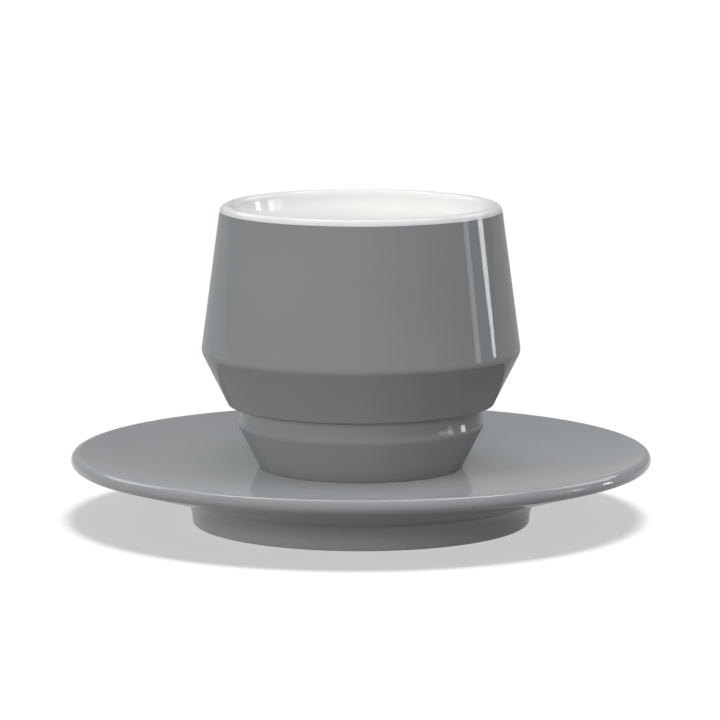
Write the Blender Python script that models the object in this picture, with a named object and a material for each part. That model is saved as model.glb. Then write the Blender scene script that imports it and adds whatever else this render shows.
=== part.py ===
# Stackable cappuccino cup on its saucer, turned in thick porcelain.
# Metres, +Z up. The origin is the centre of the saucer's foot ring, on the table.

import math

import bmesh
import bpy

MM = 0.001

# Cup: heights are stacked from the underside of the foot to the top of the lip.
FOOT_HEIGHT = 10.9 * MM
GROOVE_HEIGHT = 5.35 * MM
BELLY_HEIGHT = 13.85 * MM
UPPER_HEIGHT = 37.9 * MM

# Cup: outside diameters, each at the sharp corner before it is rounded.
RIM_DIAMETER = 72.9 * MM
BELT_DIAMETER = 82.5 * MM
EDGE_DIAMETER = 68.7 * MM
FOOT_DIAMETER = 52.2 * MM

# Cup: the groove runs in under the lower edge of the belly to an upright neck, and flares out to the foot below it.
OVERHANG = 3.35 * MM
SHOULDER_STEP = 0.85 * MM
FLARE_HEIGHT = 2.2 * MM

# Cup: wall thicknesses, and the recess inside the foot.
WALL = 3.9 * MM
NECK_WALL = 5.2 * MM
FOOT_WALL = 11.5 * MM
FLOOR = 4.0 * MM
FOOT_RECESS = 2.0 * MM
FOOT_RING_WIDTH = 4.0 * MM

# Cup: roundings.
BELT_ROUND = 3.0 * MM
EDGE_ROUND = 0.4 * MM
GROOVE_ROUND = 0.8 * MM
FLARE_ROUND = 1.0 * MM
SHOULDER_ROUND = 1.6 * MM
FOOT_ROUND = 0.5 * MM
INNER_BELT_ROUND = 11.0 * MM
INNER_NECK_ROUND = 30.0 * MM
INNER_FLOOR_ROUND = 12.0 * MM

# Saucer: the dish is a flat seat, then a nearly flat cone that sweeps up into the rim.
SAUCER_DIAMETER = 150.0 * MM
SAUCER_HEIGHT = 18.5 * MM
DISH_DEPTH = 4.2 * MM
SEAT_MARGIN = 8.4 * MM
DISH_SLOPE = 0.012
RIM_ANGLE = math.radians(19.2)
RIM_THICKNESS = 3.56 * MM
CENTRE_WALL = 6.4 * MM

# Saucer: the foot ring.
RING_DIAMETER = 87.2 * MM
RING_HEIGHT = 6.5 * MM
RING_WIDTH = 4.6 * MM
RING_FLARE = math.radians(6.0)
RING_DRAFT = math.radians(15.0)
RING_COVE = 6.5 * MM
RING_ROUND = 0.5 * MM
RECESS_COVE = 3.5 * MM

# The cup's foot stands this far above the seat.
REST_GAP = 0.3 * MM

# Facets: steps around the axis, and how far an arc's chord may lie from the arc.
TURN_STEPS = 56
ARC_TOLERANCE = 0.04 * MM
DISH_POINTS = 8
WELD = 0.01 * MM


def polar(centre, radius, angle):
    return (centre[0] + radius * math.cos(angle), centre[1] + radius * math.sin(angle))


def arc(centre, radius, start, end):
    """Points of an arc in the (radius, height) plane, both ends included."""
    step = 2.0 * math.acos(1.0 - min(ARC_TOLERANCE / radius, 0.5))
    count = max(2, math.ceil(abs(end - start) / step))
    return [polar(centre, radius, start + (end - start) * i / count) for i in range(count + 1)]


def rounded(before, at, after, radius):
    """The arc that rounds one corner, made smaller where the two sides are short."""
    into = (before[0] - at[0], before[1] - at[1])
    out = (after[0] - at[0], after[1] - at[1])
    into_length = math.hypot(*into)
    out_length = math.hypot(*out)
    into_angle = math.atan2(into[1], into[0])
    turn = (math.atan2(out[1], out[0]) - into_angle + math.pi) % (2.0 * math.pi) - math.pi
    half = abs(turn) / 2.0
    radius = min(radius, 0.49 * min(into_length, out_length) * math.tan(half))
    side = math.copysign(1.0, turn)
    centre = polar(at, radius / math.sin(half), into_angle + side * half)
    start = into_angle - side * math.pi / 2.0
    return arc(centre, radius, start, start - side * (math.pi - 2.0 * half))


def outline(corners):
    """A path through corners given as (radius, height) or (radius, height, rounding)."""
    path = []
    for i, corner in enumerate(corners):
        if len(corner) == 3:
            path += rounded(corners[i - 1], corner, corners[i + 1], corner[2])
        else:
            path.append(corner)
    return path


def spin_path(mesh, path, slot):
    """Turns a path about the Z axis; its faces take one material slot."""
    points = [mesh.verts.new((radius, 0.0, height)) for radius, height in path]
    edges = [mesh.edges.new(pair) for pair in zip(points, points[1:])]
    old_faces = set(mesh.faces)
    bmesh.ops.spin(
        mesh,
        geom=points + edges,
        cent=(0.0, 0.0, 0.0),
        axis=(0.0, 0.0, 1.0),
        angle=2.0 * math.pi,
        steps=TURN_STEPS,
        use_merge=True,
    )
    for face in mesh.faces:
        if face not in old_faces:
            face.material_index = slot


def glaze(name, colour, roughness):
    material = bpy.data.materials.new(name)
    material.use_nodes = True
    shader = material.node_tree.nodes["Principled BSDF"]
    shader.inputs["Base Color"].default_value = (*colour, 1.0)
    shader.inputs["Roughness"].default_value = roughness
    shader.inputs["Metallic"].default_value = 0.0
    return material


def turned_object(name, paths, materials):
    """One closed turned body, with one path and one glaze for each zone of its surface."""
    mesh = bmesh.new()
    for slot, path in enumerate(paths):
        spin_path(mesh, path, slot)
    bmesh.ops.remove_doubles(mesh, verts=mesh.verts, dist=WELD)
    bmesh.ops.recalc_face_normals(mesh, faces=mesh.faces)
    data = bpy.data.meshes.new(name)
    mesh.to_mesh(data)
    mesh.free()
    data.shade_smooth()
    data.set_sharp_from_angle(angle=math.radians(40.0))
    for material in materials:
        data.materials.append(material)
    item = bpy.data.objects.new(name, data)
    bpy.context.scene.collection.objects.link(item)
    return item


def cup_paths():
    """The grey outside, from under the foot up to the lip, and the white lip and inside."""
    foot = FOOT_DIAMETER / 2.0
    edge = EDGE_DIAMETER / 2.0
    belt = BELT_DIAMETER / 2.0
    neck = edge - OVERHANG
    shoulder = neck + SHOULDER_STEP
    recess = foot - FOOT_RING_WIDTH
    edge_height = FOOT_HEIGHT + GROOVE_HEIGHT
    belt_height = edge_height + BELLY_HEIGHT
    floor_height = FOOT_RECESS + FLOOR

    # The lip is a half round as thick as the wall. The outer wall runs from the belt at a tangent to it.
    lip = WALL / 2.0
    lip_centre = (RIM_DIAMETER / 2.0 - lip, belt_height + UPPER_HEIGHT - lip)
    run = lip_centre[0] - belt
    rise = lip_centre[1] - belt_height
    wall_angle = math.atan2(rise, run) - math.asin(lip / math.hypot(run, rise))
    facing = wall_angle - math.pi / 2.0

    outside = outline([
        (0.0, FOOT_RECESS),
        (recess, FOOT_RECESS, FOOT_ROUND),
        (recess, 0.0, FOOT_ROUND),
        (foot, 0.0, FOOT_ROUND),
        (shoulder, FOOT_HEIGHT, SHOULDER_ROUND),
        (neck, FOOT_HEIGHT + FLARE_HEIGHT, FLARE_ROUND),
        (neck, edge_height, GROOVE_ROUND),
        (edge, edge_height, EDGE_ROUND),
        (belt, belt_height, BELT_ROUND),
        polar(lip_centre, lip, facing),
    ])
    over_lip = arc(lip_centre, lip, facing, facing + math.pi)
    inside = outline([
        over_lip[-1],
        (belt - WALL / math.sin(wall_angle), belt_height, INNER_BELT_ROUND),
        (neck - NECK_WALL, edge_height, INNER_NECK_ROUND),
        (foot - FOOT_WALL, floor_height, INNER_FLOOR_ROUND),
        (0.0, floor_height),
    ])
    return [outside, over_lip + inside[1:]]


def saucer_path(seat_height):
    """From the centre of the seat over the rim and the foot ring to the centre of the underside."""
    seat = FOOT_DIAMETER / 2.0 + SEAT_MARGIN
    rim = RIM_THICKNESS / 2.0
    rim_centre = (SAUCER_DIAMETER / 2.0 - rim, SAUCER_HEIGHT - rim)
    dish_end = polar(rim_centre, rim, math.pi / 2.0 + RIM_ANGLE)

    # Above its slope the dish rises as a power of the distance, and enters the rim at the rim's angle.
    span = dish_end[0] - seat
    sweep = dish_end[1] - seat_height - DISH_SLOPE * span
    power = (math.tan(RIM_ANGLE) - DISH_SLOPE) * span / sweep
    dish = []
    for i in range(DISH_POINTS):
        share = i / DISH_POINTS
        height = seat_height + DISH_SLOPE * span * share + sweep * share ** power
        dish.append((seat + span * share, height))

    # The underside runs at a tangent from the rim to the top of the ring's outer wall.
    ring = RING_DIAMETER / 2.0
    ring_top = (ring + RING_HEIGHT * math.tan(RING_FLARE), RING_HEIGHT)
    run = rim_centre[0] - ring_top[0]
    rise = rim_centre[1] - ring_top[1]
    under_angle = math.atan2(rise, run) - math.asin(rim / math.hypot(run, rise))
    under_start = under_angle - math.pi / 2.0

    inner = ring - RING_WIDTH
    ceiling = seat_height - CENTRE_WALL
    over_rim = arc(rim_centre, rim, math.pi / 2.0 + RIM_ANGLE, under_start)
    below = outline([
        over_rim[-1],
        (*ring_top, RING_COVE),
        (ring, 0.0, RING_ROUND),
        (inner, 0.0, RING_ROUND),
        (inner - ceiling * math.tan(RING_DRAFT), ceiling, RECESS_COVE),
        (0.0, ceiling),
    ])
    return [(0.0, seat_height)] + dish + over_rim + below[1:]


def build():
    for item in list(bpy.data.objects):
        bpy.data.objects.remove(item, do_unlink=True)

    cup_grey = (0.240, 0.244, 0.249)
    saucer_grey = (0.264, 0.268, 0.274)
    seat_height = SAUCER_HEIGHT - DISH_DEPTH
    saucer = turned_object("saucer", [saucer_path(seat_height)], [glaze("saucer_grey_glaze", saucer_grey, 0.12)])
    cup = turned_object(
        "cup",
        cup_paths(),
        [glaze("cup_grey_glaze", cup_grey, 0.12), glaze("cup_white_glaze", (0.88, 0.88, 0.87), 0.12)],
    )
    # The cup's origin is the centre of its foot, on the axis along which it lifts off.
    cup.parent = saucer
    cup.location = (0.0, 0.0, seat_height + REST_GAP)


build()
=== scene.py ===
import math
import bmesh
import bpy
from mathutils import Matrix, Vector


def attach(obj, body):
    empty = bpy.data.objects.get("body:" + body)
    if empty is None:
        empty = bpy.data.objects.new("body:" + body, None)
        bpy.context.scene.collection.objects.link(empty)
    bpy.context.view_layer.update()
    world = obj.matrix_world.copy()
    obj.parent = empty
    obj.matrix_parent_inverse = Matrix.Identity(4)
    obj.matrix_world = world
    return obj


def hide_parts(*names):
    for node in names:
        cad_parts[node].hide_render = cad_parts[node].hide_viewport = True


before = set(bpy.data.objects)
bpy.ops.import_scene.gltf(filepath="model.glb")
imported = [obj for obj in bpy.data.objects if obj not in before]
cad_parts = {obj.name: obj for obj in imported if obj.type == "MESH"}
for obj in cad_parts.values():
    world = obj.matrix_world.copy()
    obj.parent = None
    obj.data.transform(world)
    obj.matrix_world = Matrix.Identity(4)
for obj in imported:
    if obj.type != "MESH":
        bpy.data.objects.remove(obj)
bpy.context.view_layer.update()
scene = bpy.context.scene
mm = 0.001
weld = 0.002 * mm    # points of neighbouring profiles that are closer than this become one
print("frame loaded:", sorted(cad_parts))


# a pen draws half profiles in millimetres: r out from the axis, z up
def penStart(bm, r, z):
    return bm.verts.new((r * mm, 0.0, z * mm))


def penLine(bm, vert, r, z, cuts=0):
    start, end = vert.co.copy(), Vector((r * mm, 0.0, z * mm))
    for i in range(cuts + 1):
        vert = bmesh.ops.extrude_vert_indiv(bm, verts=[vert])["verts"][0]
        vert.co = start.lerp(end, (i + 1) / (cuts + 1))
    return vert


def penArc(bm, vert, centre, turn, steps):
    # turn is the angle in the r-z plane, anticlockwise, in radians
    swept = bmesh.ops.spin(bm, geom=[vert], cent=(centre[0] * mm, 0.0, centre[1] * mm),
                           axis=(0.0, -1.0, 0.0), angle=turn, steps=steps)
    return [g for g in swept["geom_last"] if isinstance(g, bmesh.types.BMVert)][0]


def penCorner(bm, vert, before, at, after, radius, steps, cuts=0):
    # a straight run up to a rounded corner, then the round itself
    into, out = Vector(before) - Vector(at), Vector(after) - Vector(at)
    half = into.angle(out) / 2.0
    reach = radius / math.tan(half)
    start = Vector(at) + into.normalized() * reach
    middle = (into.normalized() + out.normalized()).normalized()
    centre = Vector(at) + middle * (radius / math.sin(half))
    side = 1.0 if into.x * out.y - into.y * out.x < 0.0 else -1.0
    vert = penLine(bm, vert, start.x, start.y, cuts)
    return penArc(bm, vert, centre, side * (math.pi - 2.0 * half), steps)


def turnProfile(bm, slot, steps, sectors=8):
    # turns the loose profile edges through one sector, then repeats that round the axis
    sector = 2.0 * math.pi / sectors
    done = set(bm.faces)
    wire = [e for e in bm.edges if not e.link_faces]
    verts = list(dict.fromkeys(v for e in wire for v in e.verts))
    bmesh.ops.spin(bm, geom=verts + wire, cent=(0, 0, 0), axis=(0, 0, 1),
                   angle=sector, steps=steps // sectors)
    faces = [f for f in bm.faces if f not in done]
    for face in faces:
        face.material_index = slot
    edges = list(dict.fromkeys(e for f in faces for e in f.edges))
    verts = list(dict.fromkeys(v for f in faces for v in f.verts))
    bmesh.ops.spin(bm, geom=faces + edges + verts, cent=(0, 0, 0), axis=(0, 0, 1),
                   angle=2.0 * math.pi - sector, steps=sectors - 1, use_duplicate=True)


def finishTurned(bm, name, materials, body, node):
    bmesh.ops.remove_doubles(bm, verts=bm.verts, dist=weld)
    bmesh.ops.recalc_face_normals(bm, faces=bm.faces)
    mesh = bpy.data.meshes.new(name)
    bm.to_mesh(mesh)
    bm.free()
    mesh.shade_smooth()
    for material in materials:
        mesh.materials.append(material)
    piece = bpy.data.objects.new(name, mesh)
    scene.collection.objects.link(piece)
    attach(piece, body)
    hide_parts(node)
    print(name, "turned:", len(mesh.polygons), "faces")
    return piece


def link(tree, fromNode, fromName, toNode, toName):
    tree.links.new(fromNode.outputs[fromName], toNode.inputs[toName])


def noiseNode(tree, coords, scale, detail, rough=0.5):
    noise = tree.nodes.new("ShaderNodeTexNoise")
    noise.inputs["Scale"].default_value = scale
    noise.inputs["Detail"].default_value = detail
    noise.inputs["Roughness"].default_value = rough
    link(tree, coords, "Object", noise, "Vector")
    return noise


def rangeNode(tree, source, sourceName, low, high, outLow, outHigh):
    node = tree.nodes.new("ShaderNodeMapRange")
    node.inputs["From Min"].default_value = low
    node.inputs["From Max"].default_value = high
    node.inputs["To Min"].default_value = outLow
    node.inputs["To Max"].default_value = outHigh
    link(tree, source, sourceName, node, "Value")
    return node


def spreadNode(tree, noise, outLow, outHigh):
    # spreads the middle of a noise, where nearly all of it lies, over a range
    return rangeNode(tree, noise, "Fac", 0.3, 0.7, outLow, outHigh)


def mathNode(tree, operation, first, firstName, second, secondName="Result"):
    # second is a number or a node
    node = tree.nodes.new("ShaderNodeMath")
    node.operation = operation
    link(tree, first, firstName, node, 0)
    if isinstance(second, float):
        node.inputs[1].default_value = second
    else:
        link(tree, second, secondName, node, 1)
    return node


# sockets of a Mix node when it mixes colours
mixFactor, mixFirst, mixSecond, mixResult = 0, 6, 7, 2


def colourMix(tree, factor, factorName):
    mix = tree.nodes.new("ShaderNodeMix")
    mix.data_type = "RGBA"
    link(tree, factor, factorName, mix, mixFactor)
    return mix


def scaleNode(tree, colour, factor, factorName):
    # makes a colour lighter or darker, from its socket
    node = tree.nodes.new("ShaderNodeVectorMath")
    node.operation = "SCALE"
    tree.links.new(colour, node.inputs[0])
    link(tree, factor, factorName, node, "Scale")
    return node


glazeValues = {
    "cloud": 0.035, "cloudScale": 28.0,         # slow change of tone where the glaze lies thicker
    "speck": 0.05, "speckScale": 2200.0,        # fine specks in the glaze
    "speckStart": 0.66, "speckFull": 0.80,      # the noise between which a speck grows dark
    "glossLow": 0.50, "glossHigh": 0.56,        # weight of the clear glaze coat
    "roughLow": 0.24, "roughHigh": 0.32,        # roughness of the body under that coat
    "smearScale": 90.0,                         # patches in which those two change
    "waveScale": 70.0, "peelScale": 420.0,      # slow waves and orange peel of the surface
    "peel": 0.07,                               # orange peel, as a share of the waves
    "ripple": 0.10, "rippleDepth": 0.04 * mm,   # strength and depth of both as bump
    "coatRoughness": 0.05, "coatIor": 1.5, "sheenRoughness": 0.5,
}


def makeGlazeGroup():
    v = glazeValues
    group = bpy.data.node_groups.new("firedGlaze", "ShaderNodeTree")
    face = group.interface
    face.new_socket(name="Tone", in_out="INPUT", socket_type="NodeSocketColor")
    face.new_socket(name="Tint", in_out="INPUT", socket_type="NodeSocketColor")
    face.new_socket(name="Color", in_out="OUTPUT", socket_type="NodeSocketColor")
    face.new_socket(name="Gloss", in_out="OUTPUT", socket_type="NodeSocketFloat")
    face.new_socket(name="Roughness", in_out="OUTPUT", socket_type="NodeSocketFloat")
    face.new_socket(name="Height", in_out="OUTPUT", socket_type="NodeSocketFloat")
    enter = group.nodes.new("NodeGroupInput")
    leave = group.nodes.new("NodeGroupOutput")
    coords = group.nodes.new("ShaderNodeTexCoord")

    # clouded and specked colour
    cloud = noiseNode(group, coords, v["cloudScale"], 2.0)
    speck = noiseNode(group, coords, v["speckScale"], 1.0)
    thick = rangeNode(group, cloud, "Fac", 0.35, 0.65, 0.0, 1.0)
    tinted = colourMix(group, thick, "Result")
    link(group, enter, "Tone", tinted, mixFirst)
    link(group, enter, "Tint", tinted, mixSecond)
    cloudGain = spreadNode(group, cloud, 1.0 - v["cloud"], 1.0 + v["cloud"])
    speckGain = rangeNode(group, speck, "Fac", v["speckStart"], v["speckFull"], 1.0, 1.0 - v["speck"])
    gain = mathNode(group, "MULTIPLY", cloudGain, "Result", speckGain)
    shade = scaleNode(group, tinted.outputs[mixResult], gain, "Value")
    link(group, shade, "Vector", leave, "Color")

    # patches of more and less gloss
    smear = noiseNode(group, coords, v["smearScale"], 3.0)
    gloss = spreadNode(group, smear, v["glossLow"], v["glossHigh"])
    link(group, gloss, "Result", leave, "Gloss")
    rough = spreadNode(group, smear, v["roughHigh"], v["roughLow"])
    link(group, rough, "Result", leave, "Roughness")

    # waves and orange peel
    wave = noiseNode(group, coords, v["waveScale"], 1.0)
    peel = noiseNode(group, coords, v["peelScale"], 1.0)
    peelShare = mathNode(group, "MULTIPLY", peel, "Fac", v["peel"])
    height = mathNode(group, "ADD", wave, "Fac", peelShare, "Value")
    link(group, height, "Value", leave, "Height")
    return group


glazeGroup = makeGlazeGroup()

glazeColours = {
    # tone and tint are the thin and the thick glaze, shine the strength of the clear coat,
    # and sheen the soft light of the glaze seen edge on
    "cupGlaze": {"tone": (0.246, 0.246, 0.256), "tint": (0.242, 0.243, 0.254),
                 "shine": 0.65, "sheen": 0.0},
    # painted light: the saucer takes the cup's grey glaze painted lighter, standing in for the light on its
    # dish
    "saucerLitGlaze": {"tone": (0.283, 0.283, 0.294), "tint": (0.278, 0.280, 0.292),
                    "shine": 1.3, "sheen": 0.2},
    "whiteGlaze": {"tone": (0.928, 0.908, 0.893), "tint": (0.919, 0.900, 0.888),
                   "shine": 1.0, "sheen": 0.0},
}


def newMaterial(name):
    material = bpy.data.materials.new(name)
    material.use_nodes = True
    tree = material.node_tree
    return material, tree, tree.nodes["Principled BSDF"]


def bumpNode(tree, shader, source, sourceName, strength, depth):
    bump = tree.nodes.new("ShaderNodeBump")
    bump.inputs["Strength"].default_value = strength
    bump.inputs["Distance"].default_value = depth
    link(tree, source, sourceName, bump, "Height")
    link(tree, bump, "Normal", shader, "Normal")


def glazeMaterial(name):
    v, c = glazeValues, glazeColours[name]
    material, tree, shader = newMaterial(name)
    skin = tree.nodes.new("ShaderNodeGroup")
    skin.node_tree = glazeGroup
    skin.inputs["Tone"].default_value = (*c["tone"], 1.0)
    skin.inputs["Tint"].default_value = (*c["tint"], 1.0)
    link(tree, skin, "Color", shader, "Base Color")
    link(tree, skin, "Roughness", shader, "Roughness")
    coat = mathNode(tree, "MULTIPLY", skin, "Gloss", c["shine"])
    link(tree, coat, "Value", shader, "Coat Weight")
    bumpNode(tree, shader, skin, "Height", v["ripple"], v["rippleDepth"])
    shader.inputs["Specular IOR Level"].default_value = 0.0    # the coat alone gives the shine
    shader.inputs["Coat Roughness"].default_value = v["coatRoughness"]
    shader.inputs["Coat IOR"].default_value = v["coatIor"]
    shader.inputs["Sheen Weight"].default_value = c["sheen"]
    shader.inputs["Sheen Roughness"].default_value = v["sheenRoughness"]
    return material


lipShadeValues = {
    # heights and radii in metres
    "from": 0.0782, "to": 0.0821, "high": 0.79,              # painted shade: the white glaze is painted darker up to the lip
    "edgeStart": 0.0356, "edgeEnd": 0.0364, "edge": 0.87,    # and darkest on the outer round where it meets the grey, also painted shade
}


# painted shade on the white glaze: darker up to the lip, darkest on the lip's outer round
def paintLipShade(material):
    v = lipShadeValues
    tree = material.node_tree
    shader = tree.nodes["Principled BSDF"]
    colour = shader.inputs["Base Color"].links[0].from_socket
    coords = tree.nodes.new("ShaderNodeTexCoord")
    split = tree.nodes.new("ShaderNodeSeparateXYZ")
    link(tree, coords, "Object", split, "Vector")
    # distance from the axis
    flat = tree.nodes.new("ShaderNodeVectorMath")
    flat.operation = "MULTIPLY"
    flat.inputs[1].default_value = (1.0, 1.0, 0.0)
    link(tree, coords, "Object", flat, 0)
    radius = tree.nodes.new("ShaderNodeVectorMath")
    radius.operation = "LENGTH"
    link(tree, flat, "Vector", radius, 0)
    high = rangeNode(tree, split, "Z", v["from"], v["to"], 0.0, 1.0)
    edge = rangeNode(tree, radius, "Value", v["edgeStart"], v["edgeEnd"],
                     v["high"], v["high"] * v["edge"])
    gain = tree.nodes.new("ShaderNodeMix")
    gain.inputs["A"].default_value = 1.0
    link(tree, high, "Result", gain, "Factor")
    link(tree, edge, "Result", gain, "B")
    shade = scaleNode(tree, colour, gain, "Result")
    link(tree, shade, "Vector", shader, "Base Color")


bareValues = {
    "dark": (0.62, 0.60, 0.56), "pale": (0.74, 0.73, 0.70), "stainScale": 60.0,
    "roughLow": 0.75, "roughHigh": 0.92,
    "grainScale": 1400.0, "grit": 0.4, "gritDepth": 0.05 * mm,
}


def bareMaterial(name):
    # bare fired clay where a foot stands in the kiln
    v = bareValues
    material, tree, shader = newMaterial(name)
    coords = tree.nodes.new("ShaderNodeTexCoord")
    grain = noiseNode(tree, coords, v["grainScale"], 4.0, 0.65)
    stain = noiseNode(tree, coords, v["stainScale"], 3.0)
    patch = spreadNode(tree, stain, 0.0, 1.0)
    tone = colourMix(tree, patch, "Result")
    tone.inputs[mixFirst].default_value = (*v["dark"], 1.0)
    tone.inputs[mixSecond].default_value = (*v["pale"], 1.0)
    link(tree, tone, mixResult, shader, "Base Color")
    rough = spreadNode(tree, grain, v["roughLow"], v["roughHigh"])
    link(tree, rough, "Result", shader, "Roughness")
    bumpNode(tree, shader, grain, "Fac", v["grit"], v["gritDepth"])
    return material


cupGlaze = glazeMaterial("cupGlaze")
# the saucer's grey is painted lighter than the cup's, as painted light
saucerLitGlaze = glazeMaterial("saucerLitGlaze")
whiteGlaze = glazeMaterial("whiteGlaze")
# painted shade near the lip of the white glaze
paintLipShade(whiteGlaze)
bareFoot = bareMaterial("bareFoot")
print("glazes ready")


cupValues = {
    # millimetres and degrees; a pair is radius and height of a corner before it is rounded
    "floor": 14.33,                                     # height of the underside of the foot
    "footRadius": 26.1, "footRing": 4.0, "recess": 2.2, "footRound": 0.15,
    "bareInset": 0.75,                                  # the outer edge of the ring is glazed
    "shoulder": (31.85, 25.5), "shoulderRound": 2.2,    # top of the foot, under the groove
    "flare": (31.2, 28.0), "flareRound": 8.0,
    "neck": (31.2, 30.85), "neckRound": 0.8,            # top of the groove, under the overhang
    "edge": (34.35, 30.85), "edgeRound": 0.4,           # lower edge of the belly
    "belt": (41.25, 44.7), "beltRound": 3.0,
    "rimRadius": 36.45, "top": 82.6, "wall": 3.9,
    "greyOverLip": 3.5,                                 # how far the grey runs onto the lip
    "throatLean": 10.5, "throatDepth": 6.5, "throatRound": 22.0,    # the wall thickens below the lip
    "innerNeck": (25.8, 30.85), "innerFloor": (14.6, 20.6),
    "innerBeltRound": 11.0, "innerNeckRound": 30.0, "innerFloorRound": 12.0,
    "steps": 192,
}


def makeCup():
    c = cupValues
    base, steps = c["floor"], c["steps"]
    inner = c["footRadius"] - c["footRing"]
    ceiling = base + c["recess"]
    recessTop, recessFoot = (inner, ceiling), (inner, base)
    foot, shoulder, flare, neck = (c["footRadius"], base), c["shoulder"], c["flare"], c["neck"]
    # the lip is a half round as thick as the wall, and the outside runs at a tangent to it
    lip = c["wall"] / 2.0
    lipCentre = Vector((c["rimRadius"] - lip, c["top"] - lip))
    belt = Vector(c["belt"])
    reach = lipCentre - belt
    wallAngle = math.atan2(reach.y, reach.x) - math.asin(lip / reach.length)
    lipOuter = lipCentre + Vector((math.sin(wallAngle), -math.cos(wallAngle))) * lip
    over, lean = math.radians(c["greyOverLip"]), math.radians(c["throatLean"])
    innerBelt = (belt.x - c["wall"] / math.sin(wallAngle), belt.y)
    innerNeck, innerFloor = c["innerNeck"], c["innerFloor"]
    centre = (0.0, innerFloor[1])

    bm = bmesh.new()
    # glazed recess under the foot
    pen = penStart(bm, 0.0, ceiling)
    pen = penCorner(bm, pen, (0.0, ceiling), recessTop, recessFoot, c["footRound"], steps=5, cuts=6)
    pen = penLine(bm, pen, inner, base + c["footRound"])
    last = pen.co.copy()
    turnProfile(bm, 0, steps)
    # bare standing ring
    pen = bm.verts.new(last)
    pen = penCorner(bm, pen, recessTop, recessFoot, foot, c["footRound"], steps=5)
    pen = penLine(bm, pen, c["footRadius"] - c["bareInset"], base, cuts=3)
    last = pen.co.copy()
    turnProfile(bm, 2, steps)
    # grey outside, up to the lip
    pen = bm.verts.new(last)
    pen = penCorner(bm, pen, recessFoot, foot, shoulder, c["footRound"], steps=6)
    pen = penCorner(bm, pen, foot, shoulder, flare, c["shoulderRound"], steps=12, cuts=12)
    pen = penCorner(bm, pen, shoulder, flare, neck, c["flareRound"], steps=8, cuts=4)
    pen = penCorner(bm, pen, flare, neck, c["edge"], c["neckRound"], steps=8, cuts=6)
    pen = penCorner(bm, pen, neck, c["edge"], belt, c["edgeRound"], steps=6, cuts=4)
    pen = penCorner(bm, pen, c["edge"], belt, lipOuter, c["beltRound"], steps=10, cuts=20)
    pen = penLine(bm, pen, lipOuter.x, lipOuter.y, cuts=40)
    pen = penArc(bm, pen, lipCentre, over, steps=2)
    last = pen.co.copy()
    turnProfile(bm, 0, steps)
    # white lip and inside
    pen = bm.verts.new(last)
    pen = penArc(bm, pen, lipCentre, 1.5 * math.pi - wallAngle - over - lean, steps=24)
    throatTop = (pen.co.x / mm, pen.co.z / mm)
    throat = (throatTop[0] - c["throatDepth"] * math.tan(lean), throatTop[1] - c["throatDepth"])
    pen = penCorner(bm, pen, throatTop, throat, innerBelt, c["throatRound"], steps=8, cuts=8)
    pen = penCorner(bm, pen, throat, innerBelt, innerNeck, c["innerBeltRound"], steps=12, cuts=16)
    pen = penCorner(bm, pen, innerBelt, innerNeck, innerFloor, c["innerNeckRound"], steps=4, cuts=8)
    pen = penCorner(bm, pen, innerNeck, innerFloor, centre, c["innerFloorRound"], steps=10, cuts=8)
    pen = penLine(bm, pen, *centre, cuts=6)
    turnProfile(bm, 1, steps)
    return finishTurned(bm, "cupBody", [cupGlaze, whiteGlaze, bareFoot], "cup", "cup")


cupBody = makeCup()


saucerValues = {
    # millimetres and degrees
    "radius": 75.0, "height": 18.5, "rimRound": 1.78, "rimAngle": 19.2,
    "seatRadius": 34.5, "seatHeight": 14.3, "seatEdge": 0.15,    # a fine ring of faces ends the flat seat
    "dishSlope": 0.012, "dishSteps": 48,
    "ringRadius": 43.6, "ringHeight": 6.5, "ringFlare": 6.0, "ringWidth": 4.6,
    "ringRound": 0.5, "ringCove": 6.5,
    "bareInset": 0.75,                                           # both edges of the ring are glazed
    "recessHeight": 7.9, "recessDraft": 15.0, "recessCove": 3.5,
    "steps": 256,
}


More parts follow.
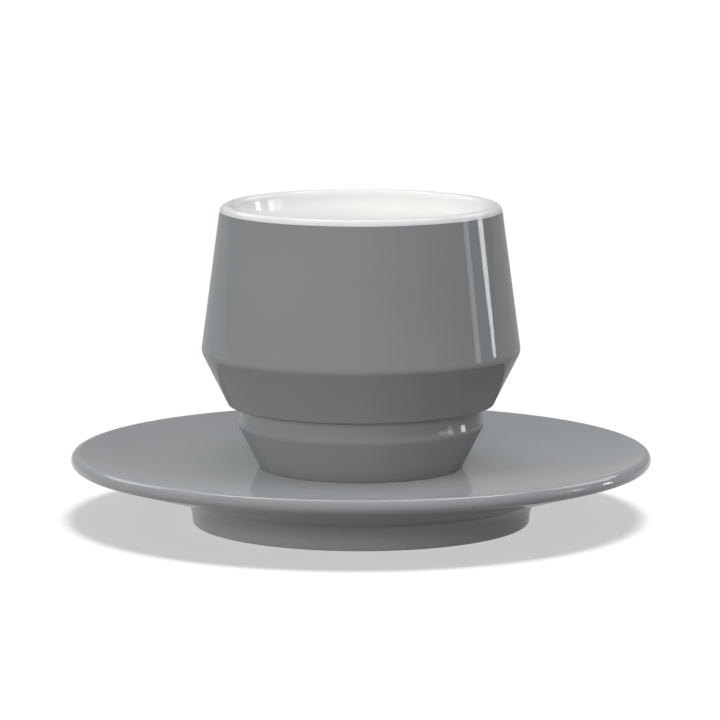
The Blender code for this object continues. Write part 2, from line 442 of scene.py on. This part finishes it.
def makeSaucer():
    s = saucerValues
    steps = s["steps"]
    seat, seatHeight = s["seatRadius"], s["seatHeight"]
    rimCentre = Vector((s["radius"] - s["rimRound"], s["height"] - s["rimRound"]))
    lean = math.radians(s["rimAngle"])
    dishEnd = rimCentre + Vector((-math.sin(lean), math.cos(lean))) * s["rimRound"]
    # above its slope the dish rises as a power of the distance, and enters the rim at the rim's angle
    span = dishEnd.x - seat
    slopeRise = s["dishSlope"] * span
    sweep = dishEnd.y - seatHeight - slopeRise
    power = (math.tan(lean) - s["dishSlope"]) * span / sweep
    # the underside runs at a tangent from the rim to the foot ring
    flare = math.tan(math.radians(s["ringFlare"]))
    ringTop = Vector((s["ringRadius"] + s["ringHeight"] * flare, s["ringHeight"]))
    reach = rimCentre - ringTop
    underAngle = math.atan2(reach.y, reach.x) - math.asin(s["rimRound"] / reach.length)
    underStart = rimCentre + Vector((math.sin(underAngle), -math.cos(underAngle))) * s["rimRound"]
    inner = s["ringRadius"] - s["ringWidth"]
    ringOuter, ringInner = (s["ringRadius"], 0.0), (inner, 0.0)
    ceiling = s["recessHeight"]
    recessTop = (inner - ceiling * math.tan(math.radians(s["recessDraft"])), ceiling)

    bm = bmesh.new()
    # seat, dish, rim and the outside of the foot ring
    pen = penStart(bm, 0.0, seatHeight)
    pen = penLine(bm, pen, seat - s["seatEdge"], seatHeight, cuts=14)
    pen = penLine(bm, pen, seat, seatHeight)
    for i in range(1, s["dishSteps"] + 1):
        share = i / s["dishSteps"]
        pen = penLine(bm, pen, seat + span * share, seatHeight + slopeRise * share + sweep * share ** power)
    pen = penArc(bm, pen, rimCentre, underAngle - lean - math.pi, steps=28)
    pen = penCorner(bm, pen, underStart, ringTop, ringOuter, s["ringCove"], steps=16, cuts=24)
    pen = penCorner(bm, pen, ringTop, ringOuter, ringInner, s["ringRound"], steps=6, cuts=4)
    pen = penLine(bm, pen, s["ringRadius"] - s["bareInset"], 0.0)
    last = pen.co.copy()
    turnProfile(bm, 0, steps)
    # bare standing ring
    pen = bm.verts.new(last)
    pen = penLine(bm, pen, inner + s["bareInset"], 0.0, cuts=3)
    last = pen.co.copy()
    turnProfile(bm, 1, steps)
    # glazed recess
    pen = bm.verts.new(last)
    pen = penCorner(bm, pen, ringOuter, ringInner, recessTop, s["ringRound"], steps=6)
    pen = penCorner(bm, pen, ringInner, recessTop, (0.0, ceiling), s["recessCove"], steps=12, cuts=4)
    pen = penLine(bm, pen, 0.0, ceiling, cuts=12)
    turnProfile(bm, 0, steps)
    return finishTurned(bm, "saucerBody", [saucerLitGlaze, bareFoot], "saucer", "saucer")


saucerBody = makeSaucer()


floorValues = {
    "size": 12.0,
    "glow": 0.535,     # its own pale light, which camera and mirror rays see
    "catch": 0.25,     # how much lamp light it shows to those rays
    "bounce": 0.04,    # the light that it throws back on the part
}


def makeFloor():
    f = floorValues
    bm = bmesh.new()
    bmesh.ops.create_grid(bm, x_segments=1, y_segments=1, size=f["size"] / 2.0)
    mesh = bpy.data.meshes.new("paleFloor")
    bm.to_mesh(mesh)
    bm.free()
    floor = bpy.data.objects.new("paleFloor", mesh)
    scene.collection.objects.link(floor)
    material = bpy.data.materials.new("paleFloor")
    material.use_nodes = True
    tree = material.node_tree
    tree.nodes.clear()
    out = tree.nodes.new("ShaderNodeOutputMaterial")
    plain = tree.nodes.new("ShaderNodeBsdfDiffuse")
    glow = tree.nodes.new("ShaderNodeEmission")
    rays = tree.nodes.new("ShaderNodeLightPath")
    seen = mathNode(tree, "ADD", rays, "Is Camera Ray", rays, "Is Glossy Ray")
    seen = mathNode(tree, "ADD", seen, "Value", rays, "Is Transmission Ray")
    seen.use_clamp = True
    level = rangeNode(tree, seen, "Value", 0.0, 1.0, f["bounce"], f["glow"])
    link(tree, level, "Result", glow, "Strength")
    shown = rangeNode(tree, seen, "Value", 0.0, 1.0, 0.0, f["catch"])
    link(tree, shown, "Result", plain, "Color")
    both = tree.nodes.new("ShaderNodeAddShader")
    link(tree, glow, "Emission", both, 0)
    link(tree, plain, "BSDF", both, 1)
    link(tree, both, "Shader", out, "Surface")
    mesh.materials.append(material)
    print("floor laid")
    return floor


paleFloor = makeFloor()


lampAim = Vector((0.0, 0.0, 0.045))    # the middle of the cup on its saucer
lampValues = {
    # windows and boxes of light that only show as glints in the glaze
    # azimuth is from the camera's side round to the right, elevation from level, all in degrees;
    # width and height are the angles that they fill, seen from the part
    "backTop": {"azimuth": 180.0, "elevation": 63.0, "distance": 3.0, "width": 44.0, "height": 14.0,
                "radiance": 10.0, "shape": "RECTANGLE", "tint": (1.0, 1.0, 0.98)},
    "backRight": {"azimuth": 141.0, "elevation": 38.0, "distance": 3.0, "width": 28.0, "height": 20.0,
                  "radiance": 3.2, "shape": "RECTANGLE", "tint": (1.0, 1.0, 0.98)},
    "backLeft": {"azimuth": 219.0, "elevation": 38.0, "distance": 3.0, "width": 28.0, "height": 20.0,
                 "radiance": 3.2, "shape": "RECTANGLE", "tint": (1.0, 1.0, 0.98)},
    "rightWindow": {"azimuth": 111.4, "elevation": 4.4, "distance": 2.0, "width": 7.4, "height": 10.0,
                    "radiance": 16.5, "shape": "ELLIPSE", "tint": (0.96, 1.0, 1.0)},
    "rightBlue": {"azimuth": 101.5, "elevation": 3.0, "distance": 2.05, "width": 11.0, "height": 9.0,
                  "radiance": 0.7, "shape": "RECTANGLE", "tint": (0.0, 0.8, 1.0)},
    "rightPale": {"azimuth": 92.6, "elevation": 6.2, "distance": 2.1, "width": 5.4, "height": 15.4,
                  "radiance": 5.0, "shape": "RECTANGLE", "tint": (0.97, 1.0, 1.0)},
    "rightHigh": {"azimuth": 89.0, "elevation": 12.0, "distance": 2.15, "width": 21.0, "height": 9.0,
                  "radiance": 4.6, "shape": "ELLIPSE", "tint": (1.0, 1.0, 0.97)},
}


def direction(azimuth, elevation):
    a, e = math.radians(azimuth), math.radians(elevation)
    return Vector((math.sin(a) * math.cos(e), -math.cos(a) * math.cos(e), math.sin(e)))


def pointAlong(lamp, way):
    lamp.rotation_euler = way.to_track_quat("-Z", "Y").to_euler()


def makeLamps():
    for name, v in lampValues.items():
        data = bpy.data.lights.new(name, "AREA")
        data.shape = v["shape"]
        data.size = 2.0 * v["distance"] * math.tan(math.radians(v["width"] / 2.0))
        data.size_y = 2.0 * v["distance"] * math.tan(math.radians(v["height"] / 2.0))
        area = data.size * data.size_y * (math.pi / 4.0 if v["shape"] == "ELLIPSE" else 1.0)
        data.energy = v["radiance"] * math.pi * area
        data.color = v["tint"]
        lamp = bpy.data.objects.new(name, data)
        lamp.location = lampAim + direction(v["azimuth"], v["elevation"]) * v["distance"]
        pointAlong(lamp, lampAim - lamp.location)
        lamp.visible_camera = False
        lamp.visible_diffuse = False
        scene.collection.objects.link(lamp)
    print("lamps set:", sorted(lampValues))


makeLamps()

sunValues = {
    # soft lights that leave no glint; each falls on the part or on the floor alone
    "keyAbove": {"azimuth": 16.0, "elevation": 71.5, "angle": 45.0, "strength": 1.19,
                 "on": "part", "tint": (0.89, 0.88, 1.0)},
    "frontFill": {"azimuth": 0.0, "elevation": 10.0, "angle": 34.0, "strength": 1.27,
                  "on": "part", "tint": (1.0, 1.0, 0.945)},
    "leftFill": {"azimuth": 300.0, "elevation": 10.0, "angle": 34.0, "strength": 1.24,
                 "on": "part", "tint": (1.0, 1.0, 0.95)},
    "leftBack": {"azimuth": 240.0, "elevation": 10.0, "angle": 34.0, "strength": 0.89,
                 "on": "part", "tint": (0.63, 0.89, 1.0)},
    "rightTop": {"azimuth": 90.0, "elevation": 52.0, "angle": 40.0, "strength": 0.67,
                 "on": "part", "tint": (0.88, 0.97, 1.0)},
    "floorKey": {"azimuth": 16.0, "elevation": 71.5, "angle": 16.0, "strength": 5.5,
                 "on": "floor", "tint": (1.0, 1.0, 1.0)},
}


def makeSuns():
    receivers = {"part": [cupBody, saucerBody], "floor": [paleFloor]}
    groups = {}
    for key, items in receivers.items():
        groups[key] = bpy.data.collections.new(key + "Only")
        for item in items:
            groups[key].objects.link(item)
    for name, v in sunValues.items():
        data = bpy.data.lights.new(name, "SUN")
        data.angle = math.radians(v["angle"])
        data.energy = v["strength"]
        data.color = v["tint"]
        lamp = bpy.data.objects.new(name, data)
        pointAlong(lamp, -direction(v["azimuth"], v["elevation"]))
        lamp.visible_glossy = False
        lamp.light_linking.receiver_collection = groups[v["on"]]
        scene.collection.objects.link(lamp)
    print("suns set:", sorted(sunValues))


makeSuns()

roomValues = {
    "level": (0.32, 0.33, 0.32),              # even light all round
    "back": (0.11, 0.11, 0.12),               # added low down behind the part
    "backTop": 28.0,                          # height in degrees where that has faded out
    "backStart": 0.3, "backFull": 0.6,        # how far round to the back it starts and is full
}


def makeRoom():
    r = roomValues
    world = bpy.data.worlds.new("softRoom")
    scene.world = world
    world.use_nodes = True
    tree = world.node_tree
    coords = tree.nodes.new("ShaderNodeTexCoord")
    split = tree.nodes.new("ShaderNodeSeparateXYZ")
    link(tree, coords, "Generated", split, "Vector")
    low = rangeNode(tree, split, "Z", 0.0, math.sin(math.radians(r["backTop"])), 1.0, 0.0)
    behind = rangeNode(tree, split, "Y", r["backStart"], r["backFull"], 0.0, 1.0)
    share = mathNode(tree, "MULTIPLY", low, "Result", behind)
    tone = colourMix(tree, share, "Value")
    tone.inputs[mixFirst].default_value = (*r["level"], 1.0)
    tone.inputs[mixSecond].default_value = (*[a + b for a, b in zip(r["level"], r["back"])], 1.0)
    link(tree, tone, mixResult, tree.nodes["Background"], "Color")
    print("room set")


makeRoom()

cameraValues = {
    "place": (0.0, -1.17854, 0.21689), "pitch": 0.1473,    # metres, and radians down from level
    "sensor": 36.0, "lens": 230.587, "shift": -1.0 / 720.0,
    "clipStart": 0.01, "clipEnd": 100.0,
}


def makeCamera():
    c = cameraValues
    data = bpy.data.cameras.new("photoCamera")
    data.sensor_width = c["sensor"]
    data.lens = c["lens"]
    data.shift_x = c["shift"]
    data.clip_start = c["clipStart"]
    data.clip_end = c["clipEnd"]
    camera = bpy.data.objects.new("photoCamera", data)
    camera.location = c["place"]
    camera.rotation_euler = (math.pi / 2.0 - c["pitch"], 0.0, 0.0)
    scene.collection.objects.link(camera)
    scene.camera = camera
    print("camera set")


makeCamera()
scene.view_settings.view_transform = "Standard"
